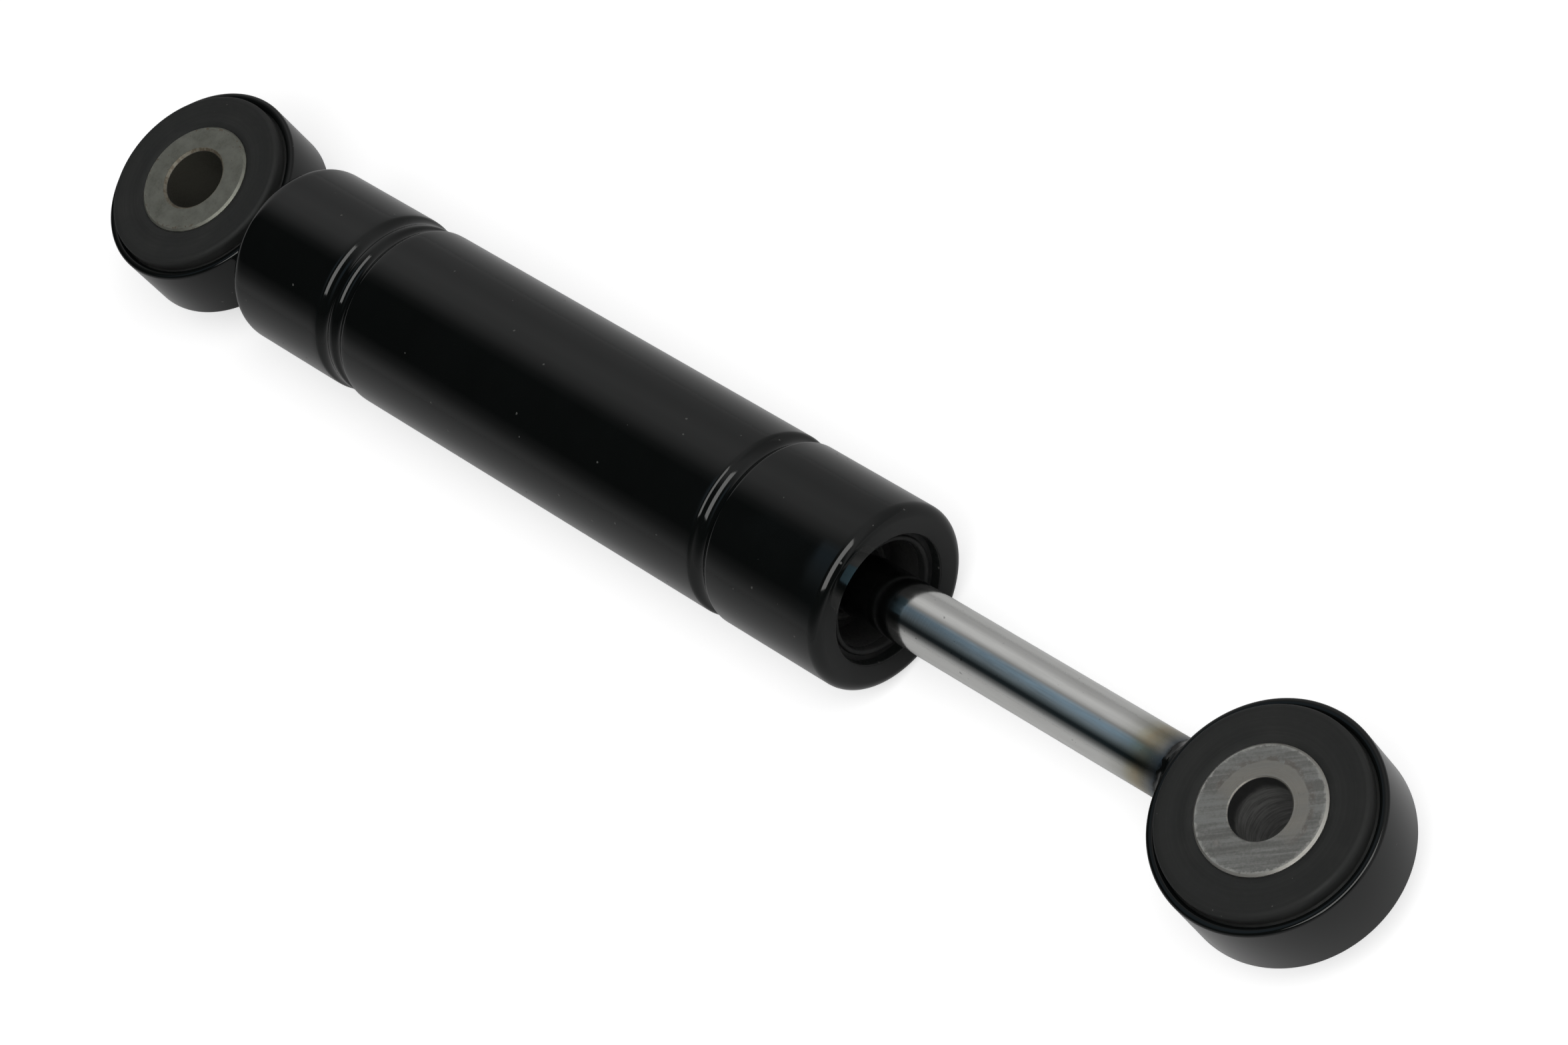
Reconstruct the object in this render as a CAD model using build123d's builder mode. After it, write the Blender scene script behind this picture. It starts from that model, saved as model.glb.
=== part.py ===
# Belt tensioner damper: a small hydraulic damper with a rubber-bushed eye at each end.
# The origin is the centre of the body eye's bore. +X runs along the damper to the rod eye,
# +Z runs along both bores, and every size is in millimetres.

import os
from math import sqrt

from build123d import *

os.makedirs("parts", exist_ok=True)

# Eyes
ring_radius = 15.2
ring_wall = 1.25
ring_width = 10.4
ring_edge_rounding = 0.5
sleeve_radius = 8.5
sleeve_length = 14.1
sleeve_edge_chamfer = 0.3
body_bore_radius = 4.6
body_bore_chamfer = 0.36
rod_bore_radius = 4.05
rod_bore_chamfer = 0.18
rubber_face_inset = 0.12
rubber_lip_gap = 0.25
rubber_lip_rounding = 0.7
rubber_root_gap = 0.35
sleeve_clearance = 0.05

# Tube, with a crowned closed end, two rolled grooves near it, one near the rod end, and a rim
# that is rolled inwards over the seal
tube_radius = 13.0
tube_wall = 1.5
tube_length = 118.25
neck_length = 4.3
crown_height = 1.8
closed_corner_radius = 2.0
rim_corner_radius = 1.6
rim_inner_corner_radius = 0.3
rim_opening_radius = 9.05
rim_dish = 0.25
rim_lip_rounding = 0.4
base_groove_depth = 0.53
base_groove_width = 2.9
base_groove_pitch = 3.0
base_grooves_from_end = 21.6
guide_groove_depth = 1.0
guide_groove_width = 3.7
guide_groove_from_rim = 22.05
groove_shoulder_share = 0.35
weld_ring_radius = 5.0
weld_crown_radius = 7.4

# Rod guide and seal, from the rim inwards
cover_thickness = 1.2
cover_collar_wall = 0.6
cover_collar_radius = 7.5
cover_collar_rise = 0.65
seal_length = 6.0
seal_floor = 0.9
seal_lip_height = 1.2
seal_lip_wall = 0.8
seal_clearance = 0.03
garter_wire_radius = 0.45
guide_length = 16.8
guide_groove_from_face = 6.4
o_ring_section = 1.8
bush_wall = 1.2
bush_length = 14.0
bush_clearance = 0.05

# Rod, and the piston stack on its stepped end
rod_radius = 4.25
rod_exposed_length = 50.75
rod_weld_leg = 1.5
rod_weld_height = 0.75
spigot_radius = 3.0
stroke_out = 2.0
stop_reserve = 0.2
stop_ring_length = 2.2
stop_ring_radius = 6.9
stop_ring_rounding = 0.5
stop_washer_thickness = 1.0
stop_washer_radius = 8.4
plate_thickness = 0.6
plate_lift = 0.6
plate_radius = 9.4
plate_seat_radius = 4.4
piston_length = 7.0
piston_gap = 0.45
piston_port_radius = 0.9
piston_port_count = 6
outer_port_circle = 8.0
inner_port_circle = 5.2
band_width = 4.0
band_thickness = 1.0
band_clearance = 0.05
bleed_disc_thickness = 0.4
bleed_disc_radius = 6.8
clamp_washer_thickness = 0.8
clamp_washer_radius = 5.2
nut_length = 4.4
nut_across_flats = 10.0
nut_edge_chamfer = 0.5
nut_thread_gap = 0.02
rod_tip_stand = 0.2

# Base valve, held by the two rolled grooves
base_length = 8.0
base_recess_depth = 1.6
base_recess_radius = 9.9
base_port_radius = 0.9
base_port_count = 8
base_inner_port_count = 4
base_rivet_radius = 1.5
base_rivet_head_radius = 3.6
base_rivet_head_height = 0.8

# Places that follow from the sizes above
tube_inner_radius = tube_radius - tube_wall
ring_inner_radius = ring_radius - ring_wall
closed_end_x = ring_radius + neck_length
crown_x = closed_end_x - crown_height
rim_x = closed_end_x + tube_length
rod_eye_x = rim_x + rod_exposed_length + ring_radius
base_middle_x = closed_end_x + base_grooves_from_end
base_grooves = [
    (base_middle_x - base_groove_pitch / 2, base_groove_depth, base_groove_width),
    (base_middle_x + base_groove_pitch / 2, base_groove_depth, base_groove_width),
]
guide_groove = (rim_x - guide_groove_from_rim, guide_groove_depth, guide_groove_width)
cover_x = rim_x - tube_wall - cover_thickness
seal_x = cover_x - seal_length
guide_x = seal_x - guide_length
bush_radius = rod_radius + bush_clearance
shoulder_x = guide_x - stroke_out - stop_reserve - stop_ring_length
washer_x = shoulder_x - stop_washer_thickness
plate_x = washer_x - plate_lift - plate_thickness
piston_x = plate_x - piston_length
bleed_x = piston_x - 2 * bleed_disc_thickness
clamp_x = bleed_x - clamp_washer_thickness
nut_x = clamp_x - nut_length
piston_radius = tube_inner_radius - piston_gap
band_outer_radius = tube_inner_radius - band_clearance
band_inner_radius = band_outer_radius - band_thickness
crown_sphere_radius = (crown_height**2 + tube_radius**2) / (2 * crown_height)
base_start_x = base_middle_x - base_length / 2
base_end_x = base_middle_x + base_length / 2


# Height of the crowned end's outer face at a distance from the axis
def crown_face_x(radius):
    return crown_x + crown_sphere_radius - sqrt(crown_sphere_radius**2 - radius**2)


# One rolled groove in a profile line, made of a shoulder, a valley and a second shoulder
def rolled_groove(groove, radius):
    middle_x, depth, width = groove
    half = width / 2
    valley_half = half * (1 - groove_shoulder_share)
    shoulder_drop = depth * groove_shoulder_share
    valley_start = (middle_x - valley_half, radius - shoulder_drop)
    valley_end = (middle_x + valley_half, radius - shoulder_drop)
    TangentArc((middle_x - half, radius), valley_start, tangent=(1, 0))
    ThreePointArc(valley_start, (middle_x, radius - depth), valley_end)
    TangentArc((middle_x + half, radius), valley_end, tangent=(-1, 0))


# A line parallel to the axis with rolled grooves along it
def grooved_line(start_x, end_x, radius, grooves):
    reached_x = start_x
    for groove in grooves:
        groove_start = groove[0] - groove[2] / 2
        if groove_start - reached_x > 0.001:
            Line((reached_x, radius), (groove_start, radius))
        rolled_groove(groove, radius)
        reached_x = groove[0] + groove[2] / 2
    Line((reached_x, radius), (end_x, radius))


# Rounds the corner of a section that lies nearest to a place
def round_corner(section, place, rounding):
    corner = section.vertices().sort_by_distance(place)[0]
    fillet(corner, rounding)


# A plain ring about the damper's axis
def plain_ring(start_x, end_x, inner_radius, outer_radius):
    with BuildPart() as ring:
        with BuildSketch(Plane.YZ.offset(start_x)):
            Circle(outer_radius)
            Circle(inner_radius, mode=Mode.SUBTRACT)
        extrude(amount=end_x - start_x)
    return ring.part


# Writes one piece under the name that its node has
def save(piece, name):
    piece.label = name
    export_step(piece, "parts/" + name + ".step")


# Tube: one shell, crowned and closed at the body eye and rolled inwards at the rim
tube_grooves = base_grooves + [guide_groove]
rim_mouth_x = rim_x - rim_dish
inner_crown_x = crown_x + tube_wall
with BuildPart() as cylinder_tube:
    with BuildSketch(Plane.XY) as tube_section:
        with BuildLine():
            TangentArc((crown_x, 0), (closed_end_x, tube_radius), tangent=(0, 1))
            grooved_line(closed_end_x, rim_x, tube_radius, tube_grooves)
            Polyline(
                (rim_x, tube_radius),
                (rim_x, tube_radius - rim_corner_radius - rim_inner_corner_radius),
                (rim_mouth_x, rim_opening_radius),
                (rim_mouth_x - tube_wall, rim_opening_radius),
                (rim_x - tube_wall, tube_inner_radius - rim_inner_corner_radius),
                (rim_x - tube_wall, tube_inner_radius),
            )
            grooved_line(closed_end_x + tube_wall, rim_x - tube_wall, tube_inner_radius, tube_grooves)
            TangentArc((inner_crown_x, 0), (closed_end_x + tube_wall, tube_inner_radius), tangent=(0, 1))
            Line((inner_crown_x, 0), (crown_x, 0))
        make_face()
        round_corner(tube_section, (closed_end_x, tube_radius), closed_corner_radius)
        round_corner(tube_section, (rim_x, tube_radius), rim_corner_radius)
        round_corner(tube_section, (rim_mouth_x, rim_opening_radius), rim_lip_rounding)
    revolve(axis=Axis.X)
save(cylinder_tube.part, "cylinder_tube")

# Weld that carries the body eye: its one end fits the crown and the other the ring
with BuildPart() as body_eye_weld:
    with BuildSketch(Plane.XY):
        with BuildLine():
            crown_edge = (crown_face_x(weld_crown_radius), weld_crown_radius)
            ring_edge = (ring_radius - 1, weld_ring_radius)
            crown_middle = (crown_face_x(weld_crown_radius / 2), weld_crown_radius / 2)
            ThreePointArc((crown_x, 0), crown_middle, crown_edge)
            TangentArc(ring_edge, crown_edge, tangent=(1, 0))
            Polyline(ring_edge, (ring_radius / 2, weld_ring_radius), (ring_radius / 2, 0), (crown_x, 0))
        make_face()
    revolve(axis=Axis.X)
    Cylinder(radius=ring_radius, height=2 * ring_width, mode=Mode.SUBTRACT)
save(body_eye_weld.part, "body_eye_weld")


# Eye ring: a short tube with rounded edges
def eye_ring(eye_x):
    with BuildPart() as ring:
        with BuildSketch(Plane.XY.offset(-ring_width / 2)):
            with Locations((eye_x, 0)):
                Circle(ring_radius)
                Circle(ring_inner_radius, mode=Mode.SUBTRACT)
        extrude(amount=ring_width)
        fillet(ring.edges().filter_by(GeomType.CIRCLE), ring_edge_rounding)
    return ring.part


# Rubber bush: fills the ring and stands proud of it as a rounded disc on both faces
def eye_rubber(eye_x):
    face_z = sleeve_length / 2 - rubber_face_inset
    lip_radius = ring_inner_radius - rubber_lip_gap
    root_z = ring_width / 2 - ring_edge_rounding
    inner_radius = sleeve_radius + sleeve_clearance
    with BuildPart() as rubber:
        with BuildSketch(Plane.XZ) as half_section:
            with BuildLine():
                Polyline(
                    (inner_radius, 0),
                    (ring_inner_radius, 0),
                    (ring_inner_radius, root_z - rubber_root_gap),
                    (lip_radius - rubber_root_gap, root_z),
                    (lip_radius, root_z + rubber_root_gap),
                    (lip_radius, face_z),
                    (inner_radius, face_z),
                    (inner_radius, 0),
                )
            make_face()
            round_corner(half_section, (lip_radius, 0, face_z), rubber_lip_rounding)
        revolve(axis=Axis.Z)
        mirror(about=Plane.XY)
    return rubber.part.moved(Location((eye_x, 0, 0)))


# Inner sleeve: a thick steel tube with a chamfered bore
def eye_sleeve(eye_x, bore_radius, bore_chamfer):
    with BuildPart() as sleeve:
        with BuildSketch(Plane.XY.offset(-sleeve_length / 2)):
            with Locations((eye_x, 0)):
                Circle(sleeve_radius)
                Circle(bore_radius, mode=Mode.SUBTRACT)
        extrude(amount=sleeve_length)
        rims = sleeve.edges().filter_by(GeomType.CIRCLE).sort_by(SortBy.RADIUS)
        chamfer(rims[:2], bore_chamfer)
        chamfer(sleeve.edges().filter_by(GeomType.CIRCLE).sort_by(SortBy.RADIUS)[-2:], sleeve_edge_chamfer)
    return sleeve.part


save(eye_ring(0), "body_eye_ring")
save(eye_rubber(0), "body_eye_rubber")
save(eye_sleeve(0, body_bore_radius, body_bore_chamfer), "body_eye_sleeve")
save(eye_ring(rod_eye_x), "rod_eye_ring")
save(eye_rubber(rod_eye_x), "rod_eye_rubber")
save(eye_sleeve(rod_eye_x, rod_bore_radius, rod_bore_chamfer), "rod_eye_sleeve")

# Seal cover: a pressed washer under the rolled rim, with a collar that shows inside the mouth
collar_outer_radius = cover_collar_radius + cover_collar_wall
with BuildPart() as seal_cover:
    with BuildSketch(Plane.XY):
        with BuildLine():
            Polyline(
                (cover_x, cover_collar_radius),
                (rim_mouth_x - cover_collar_rise, cover_collar_radius),
                (rim_mouth_x - cover_collar_rise, collar_outer_radius),
                (cover_x + cover_thickness - rim_dish, collar_outer_radius),
                (cover_x + cover_thickness - rim_dish, rim_opening_radius),
                (cover_x + cover_thickness, tube_inner_radius - rim_inner_corner_radius),
                (cover_x, tube_inner_radius - rim_inner_corner_radius),
                (cover_x, cover_collar_radius),
            )
        make_face()
    revolve(axis=Axis.X)
save(seal_cover.part, "seal_cover")

# Rod seal: a rubber cup whose floor carries a lip that wipes the rod
seal_bore_radius = rod_radius + seal_clearance
lip_outer_radius = seal_bore_radius + seal_lip_wall
garter_place = (seal_x + seal_floor + seal_lip_height / 2, lip_outer_radius + garter_wire_radius)
with BuildPart() as rod_seal:
    with BuildSketch(Plane.XY):
        with BuildLine():
            Polyline(
                (seal_x, seal_bore_radius),
                (seal_x, tube_inner_radius),
                (cover_x, tube_inner_radius),
                (cover_x, cover_collar_radius),
                (seal_x + seal_floor, cover_collar_radius),
                (seal_x + seal_floor, lip_outer_radius),
                (seal_x + seal_floor + seal_lip_height, lip_outer_radius),
                (seal_x + seal_floor + seal_lip_height, seal_bore_radius + seal_lip_wall / 2),
                (seal_x + seal_floor + seal_lip_height / 2, seal_bore_radius),
                (seal_x, seal_bore_radius),
            )
        make_face()
    revolve(axis=Axis.X)
save(rod_seal.part, "rod_seal")

# Garter spring that closes the lip on the rod
with BuildPart() as seal_garter:
    with BuildSketch(Plane.XY):
        with Locations(garter_place):
            Circle(garter_wire_radius)
    revolve(axis=Axis.X)
save(seal_garter.part, "seal_garter")

# Rod guide: carried in the tube by the rolled groove, with a seal ring groove and a bush bore
bush_outer_radius = bush_radius + bush_wall
bush_x = seal_x - bush_length
o_ring_x = seal_x - guide_groove_from_face
o_ring_floor = tube_inner_radius - o_ring_section
with BuildPart() as rod_guide:
    with BuildSketch(Plane.XY) as guide_section:
        with BuildLine():
            grooved_line(guide_x, seal_x, tube_inner_radius, [guide_groove])
            Polyline(
                (seal_x, tube_inner_radius),
                (seal_x, bush_outer_radius),
                (bush_x, bush_outer_radius),
                (bush_x, rod_radius + 2 * bush_clearance),
                (guide_x, rod_radius + 2 * bush_clearance),
                (guide_x, tube_inner_radius),
            )
        make_face()
        with Locations((o_ring_x, o_ring_floor)):
            Rectangle(o_ring_section, 2 * o_ring_section, align=(Align.CENTER, Align.MIN), mode=Mode.SUBTRACT)
    revolve(axis=Axis.X)
save(rod_guide.part, "rod_guide")
save(plain_ring(bush_x, seal_x, bush_radius, bush_outer_radius), "guide_bush")

with BuildPart() as guide_o_ring:
    with BuildSketch(Plane.XY):
        with Locations((o_ring_x, o_ring_floor + o_ring_section / 2)):
            Circle(o_ring_section / 2)
    revolve(axis=Axis.X)
save(guide_o_ring.part, "guide_o_ring")

# Piston rod: stepped for the piston at the inner end, saddled on the ring at the outer end
with BuildPart() as piston_rod:
    with BuildSketch(Plane.XY) as rod_section:
        with BuildLine():
            Polyline(
                (nut_x - rod_tip_stand, 0),
                (nut_x - rod_tip_stand, spigot_radius),
                (shoulder_x, spigot_radius),
                (shoulder_x, rod_radius),
                (rod_eye_x, rod_radius),
                (rod_eye_x, 0),
                (nut_x - rod_tip_stand, 0),
            )
        make_face()
    revolve(axis=Axis.X)
    with Locations((rod_eye_x, 0, 0)):
        Cylinder(radius=ring_radius, height=2 * ring_width, mode=Mode.SUBTRACT)
save(piston_rod.part, "piston_rod")

# Fillet weld between the rod and its eye
weld_start_x = rod_eye_x - ring_radius - rod_weld_leg
with BuildPart() as rod_eye_weld:
    with BuildSketch(Plane.XY):
        with BuildLine():
            Line((weld_start_x, rod_radius), (rod_eye_x - ring_radius / 2, rod_radius))
            Line(
                (rod_eye_x - ring_radius / 2, rod_radius),
                (rod_eye_x - ring_radius / 2, rod_radius + rod_weld_height),
            )
            Line(
                (rod_eye_x - ring_radius / 2, rod_radius + rod_weld_height),
                (rod_eye_x - ring_radius, rod_radius + rod_weld_height),
            )
            TangentArc(
                (rod_eye_x - ring_radius, rod_radius + rod_weld_height),
                (weld_start_x, rod_radius),
                tangent=(-1, 0),
            )
        make_face()
    revolve(axis=Axis.X)
    with Locations((rod_eye_x, 0, 0)):
        Cylinder(radius=ring_radius, height=2 * ring_width, mode=Mode.SUBTRACT)
save(rod_eye_weld.part, "rod_eye_weld")

# Rebound stop: a ring that lands on the guide at full reach
with BuildPart() as rebound_stop:
    with BuildSketch(Plane.YZ.offset(shoulder_x)):
        Circle(stop_ring_radius)
        Circle(rod_radius, mode=Mode.SUBTRACT)
    extrude(amount=stop_ring_length)
    fillet(rebound_stop.edges().filter_by(GeomType.CIRCLE).sort_by(SortBy.RADIUS)[-2:], stop_ring_rounding)
save(rebound_stop.part, "rebound_stop")
save(plain_ring(washer_x, shoulder_x, spigot_radius, stop_washer_radius), "stop_washer")

# Piston: a flanged disc with two rings of ports, a hub that the washer clamps, and a band groove
hub_radius = plate_seat_radius - band_clearance
band_groove_start = piston_x + piston_length / 2 - band_width / 2 - band_clearance
with BuildPart() as piston:
    with BuildSketch(Plane.YZ.offset(piston_x)):
        Circle(piston_radius)
    extrude(amount=piston_length)
    with BuildSketch(Plane.YZ.offset(plate_x)):
        Circle(hub_radius)
    extrude(amount=washer_x - plate_x)
    with BuildSketch(Plane.YZ.offset(band_groove_start)):
        Circle(tube_radius)
        Circle(band_inner_radius - band_clearance, mode=Mode.SUBTRACT)
    extrude(amount=band_width + 2 * band_clearance, mode=Mode.SUBTRACT)
    with BuildSketch(Plane.YZ.offset(piston_x)):
        Circle(spigot_radius)
        with PolarLocations(outer_port_circle, piston_port_count):
            Circle(piston_port_radius)
        with PolarLocations(inner_port_circle, piston_port_count, start_angle=180 / piston_port_count):
            Circle(piston_port_radius / 2)
    extrude(amount=washer_x - piston_x, mode=Mode.SUBTRACT)
save(piston.part, "piston")
band_x = band_groove_start + band_clearance
save(plain_ring(band_x, band_x + band_width, band_inner_radius, band_outer_radius), "piston_band")
save(plain_ring(plate_x, plate_x + plate_thickness, plate_seat_radius, plate_radius), "piston_plate")

# Bleed discs, their clamp washer and the nut on the rod's end
for disc_number in range(2):
    disc_x = piston_x - (disc_number + 1) * bleed_disc_thickness
    disc_radius = bleed_disc_radius - disc_number * bleed_disc_thickness
    disc = plain_ring(disc_x, disc_x + bleed_disc_thickness, spigot_radius, disc_radius)
    save(disc, "bleed_disc_" + str(disc_number + 1))
save(plain_ring(clamp_x, bleed_x, spigot_radius, clamp_washer_radius), "clamp_washer")

with BuildPart() as piston_nut:
    with BuildSketch(Plane.YZ.offset(nut_x)):
        RegularPolygon(radius=nut_across_flats / 2, side_count=6, major_radius=False)
        Circle(spigot_radius + nut_thread_gap, mode=Mode.SUBTRACT)
    extrude(amount=nut_length)
    nut_corners = Cylinder(
        radius=nut_across_flats / 2 + nut_edge_chamfer / 2,
        height=2 * nut_length,
        rotation=(0, 90, 0),
        mode=Mode.PRIVATE,
    )
    add(nut_corners.moved(Location((nut_x, 0, 0))), mode=Mode.INTERSECT)
save(piston_nut.part, "piston_nut")

# Base valve body: grooved like the guide, recessed for its floating plate, and drilled
with BuildPart() as base_body:
    with BuildSketch(Plane.XY):
        with BuildLine():
            grooved_line(base_start_x, base_end_x, tube_inner_radius, base_grooves)
            Polyline(
                (base_end_x, tube_inner_radius),
                (base_end_x, base_recess_radius),
                (base_end_x - base_recess_depth, base_recess_radius),
                (base_end_x - base_recess_depth, base_rivet_radius),
                (base_start_x, base_rivet_radius),
                (base_start_x, tube_inner_radius),
            )
        make_face()
    revolve(axis=Axis.X)
    with BuildSketch(Plane.YZ.offset(base_start_x)):
        with PolarLocations(outer_port_circle, base_port_count):
            Circle(base_port_radius)
        with PolarLocations(inner_port_circle, base_inner_port_count):
            Circle(base_port_radius / 2)
    extrude(amount=base_length, mode=Mode.SUBTRACT)
save(base_body.part, "base_body")

# Floating plate in the recess, the bleed disc behind the body, and the rivet that holds both
base_floor_x = base_end_x - base_recess_depth
base_collar_radius = plate_seat_radius - band_clearance
plate_travel_x = base_floor_x + plate_thickness + plate_lift
save(plain_ring(base_floor_x, base_floor_x + plate_thickness, plate_seat_radius, plate_radius), "base_plate")
save(plain_ring(base_floor_x, plate_travel_x, base_rivet_radius, base_collar_radius), "base_spacer")
base_disc_x = base_start_x - bleed_disc_thickness
save(plain_ring(base_disc_x, base_start_x, base_rivet_radius, bleed_disc_radius), "base_bleed_disc")
base_stop_x = plate_travel_x + bleed_disc_thickness
save(plain_ring(plate_travel_x, base_stop_x, base_rivet_radius, bleed_disc_radius), "base_plate_stop")

with BuildPart() as base_rivet:
    with BuildSketch(Plane.YZ.offset(base_disc_x)):
        Circle(base_rivet_radius)
    extrude(amount=base_stop_x - base_disc_x)
    with BuildSketch(Plane.YZ.offset(base_stop_x)):
        Circle(base_rivet_head_radius)
    extrude(amount=base_rivet_head_height)
    with BuildSketch(Plane.YZ.offset(base_disc_x - base_rivet_head_height)):
        Circle(base_rivet_head_radius)
    extrude(amount=base_rivet_head_height)
save(base_rivet.part, "base_rivet")
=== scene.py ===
import math

import bmesh
import bpy
from mathutils import Matrix, Vector


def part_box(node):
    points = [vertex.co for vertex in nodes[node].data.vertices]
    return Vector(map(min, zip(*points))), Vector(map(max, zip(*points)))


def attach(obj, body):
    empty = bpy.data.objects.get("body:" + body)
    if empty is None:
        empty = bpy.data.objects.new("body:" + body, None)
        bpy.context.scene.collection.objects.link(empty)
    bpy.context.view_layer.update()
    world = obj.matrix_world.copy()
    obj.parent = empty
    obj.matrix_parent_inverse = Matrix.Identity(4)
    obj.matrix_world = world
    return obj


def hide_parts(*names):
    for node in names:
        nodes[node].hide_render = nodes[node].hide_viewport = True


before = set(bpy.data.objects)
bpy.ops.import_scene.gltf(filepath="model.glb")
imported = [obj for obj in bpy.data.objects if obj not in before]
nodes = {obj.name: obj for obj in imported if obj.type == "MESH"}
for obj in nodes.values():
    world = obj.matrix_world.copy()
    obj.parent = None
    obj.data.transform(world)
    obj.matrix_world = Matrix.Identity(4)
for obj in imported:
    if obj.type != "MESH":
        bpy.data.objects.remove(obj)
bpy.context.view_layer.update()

mm = 0.001  # all sizes below are written in millimetres times this


# Places and sizes that are read from the solids

tubeLow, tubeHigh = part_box("cylinder_tube")
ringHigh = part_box("body_eye_ring")[1]
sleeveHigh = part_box("body_eye_sleeve")[1]
coverLow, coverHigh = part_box("seal_cover")
rodLow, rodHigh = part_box("piston_rod")
rodEyeLow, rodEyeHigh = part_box("rod_eye_ring")

tubeRadius = tubeHigh.y
ringRadius = ringHigh.y
ringHalf = ringHigh.z
sleeveRadius = sleeveHigh.y
sleeveHalf = sleeveHigh.z
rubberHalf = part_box("body_eye_rubber")[1].z
rodRadius = rodHigh.y
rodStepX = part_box("rebound_stop")[0].x
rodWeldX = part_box("rod_eye_weld")[0].x
rimX = tubeHigh.x
bodyEyeX = 0.0
rodEyeX = (rodEyeLow.x + rodEyeHigh.x) / 2
floorZ = tubeLow.z

# The holes for the bolts, which no box gives
bodyBoreRadius = 4.6 * mm
rodBoreRadius = 4.05 * mm
print("read the solids")


# Lathe and mesh helpers

def arcPoints(centre, radius, startDegrees, endDegrees, steps):
    points = []
    for step in range(steps + 1):
        angle = math.radians(startDegrees + (endDegrees - startDegrees) * step / steps)
        points.append((centre[0] + radius * math.cos(angle), centre[1] + radius * math.sin(angle)))
    return points


# Turns an outline of (along, radius) points about X, or about a line along Z through centreX.
# An outline that starts on the axis ends there, and any other closes on itself.
def lathe(name, outline, axis, centreX=0.0, segments=192, wobble=None):
    vertices = []
    rows = []
    for along, radius in outline:
        if radius == 0.0:
            rows.append([len(vertices)])
            vertices.append(placeOnAxis(along, 0.0, 0.0, axis, centreX))
            continue
        row = []
        for number in range(segments):
            angle = 2 * math.pi * number / segments
            shift = wobble(along, radius, angle) if wobble else (0.0, 0.0)
            row.append(len(vertices))
            vertices.append(placeOnAxis(along + shift[0], radius + shift[1], angle, axis, centreX))
        rows.append(row)
    faces = []
    closed = len(rows[0]) > 1
    pairs = list(zip(rows, rows[1:] + rows[:1])) if closed else list(zip(rows, rows[1:]))
    for first, second in pairs:
        for number in range(segments):
            following = (number + 1) % segments
            corners = [
                first[number % len(first)],
                first[following % len(first)],
                second[following % len(second)],
                second[number % len(second)],
            ]
            face = list(dict.fromkeys(corners))
            if len(face) > 2:
                faces.append(face)
    return meshObject(name, vertices, faces)


def placeOnAxis(along, radius, angle, axis, centreX):
    if axis == "x":
        return (along, radius * math.cos(angle), radius * math.sin(angle))
    return (centreX + radius * math.cos(angle), radius * math.sin(angle), along)


def meshObject(name, vertices, faces, sharpDegrees=32):
    mesh = bpy.data.meshes.new(name)
    mesh.from_pydata(vertices, [], faces)
    mesh.validate()
    piece = bpy.data.objects.new(name, mesh)
    bpy.context.scene.collection.objects.link(piece)
    outwards(mesh)
    mesh.shade_smooth()
    mesh.set_sharp_from_angle(angle=math.radians(sharpDegrees))
    return piece


def outwards(mesh):
    work = bmesh.new()
    work.from_mesh(mesh)
    bmesh.ops.recalc_face_normals(work, faces=work.faces)
    work.to_mesh(mesh)
    work.free()


# Puts a piece on its body in place of the solids that it stands for
def dress(piece, body, material, slot, *solids):
    piece.data.materials.clear()
    piece.data.materials.append(material)
    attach(piece, body)
    if solids:
        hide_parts(*solids)
    return piece


# Small shader helpers. A span is the pair of values between which a mask rises from 0 to 1.

def newMaterial(name):
    material = bpy.data.materials.new(name)
    material.use_nodes = True
    tree = material.node_tree
    for node in list(tree.nodes):
        tree.nodes.remove(node)
    output = tree.nodes.new("ShaderNodeOutputMaterial")
    shader = tree.nodes.new("ShaderNodeBsdfPrincipled")
    tree.links.new(shader.outputs["BSDF"], output.inputs["Surface"])
    return material, tree, shader


def addNode(tree, kind, **settings):
    node = tree.nodes.new(kind)
    for key, value in settings.items():
        setattr(node, key, value)
    return node


def setInputs(node, **values):
    for key, value in values.items():
        node.inputs[key.replace("_", " ")].default_value = value


def link(tree, start, end):
    tree.links.new(start, end)


def mathNode(tree, operation, first, second=None, third=None, clamp=False):
    node = addNode(tree, "ShaderNodeMath", operation=operation, use_clamp=clamp)
    for place, value in enumerate((first, second, third)):
        if value is None:
            continue
        if isinstance(value, (int, float)):
            node.inputs[place].default_value = value
        else:
            link(tree, value, node.inputs[place])
    return node.outputs[0]


def times(tree, first, second):
    return mathNode(tree, "MULTIPLY", first, second)


def scaleAndAdd(tree, value, factor, base, clamp=False):
    return mathNode(tree, "MULTIPLY_ADD", value, factor, base, clamp)


def lengthNode(tree, first, second):
    squares = [mathNode(tree, "POWER", value, 2.0) for value in (first, second)]
    return mathNode(tree, "SQRT", mathNode(tree, "ADD", *squares))


def splitVector(tree, vector):
    node = addNode(tree, "ShaderNodeSeparateXYZ")
    link(tree, vector, node.inputs["Vector"])
    return node.outputs


def rangeNode(tree, value, fromLow, fromHigh, toLow=0.0, toHigh=1.0, smooth=True):
    node = addNode(tree, "ShaderNodeMapRange", clamp=True)
    node.interpolation_type = "SMOOTHSTEP" if smooth else "LINEAR"
    link(tree, value, node.inputs["Value"])
    node.inputs["From Min"].default_value = fromLow
    node.inputs["From Max"].default_value = fromHigh
    node.inputs["To Min"].default_value = toLow
    node.inputs["To Max"].default_value = toHigh
    return node.outputs["Result"]


# Rises over the first span and falls over the second
def bandNode(tree, value, rise, fall):
    return times(tree, rangeNode(tree, value, *rise), rangeNode(tree, value, *fall, 1.0, 0.0))


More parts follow.
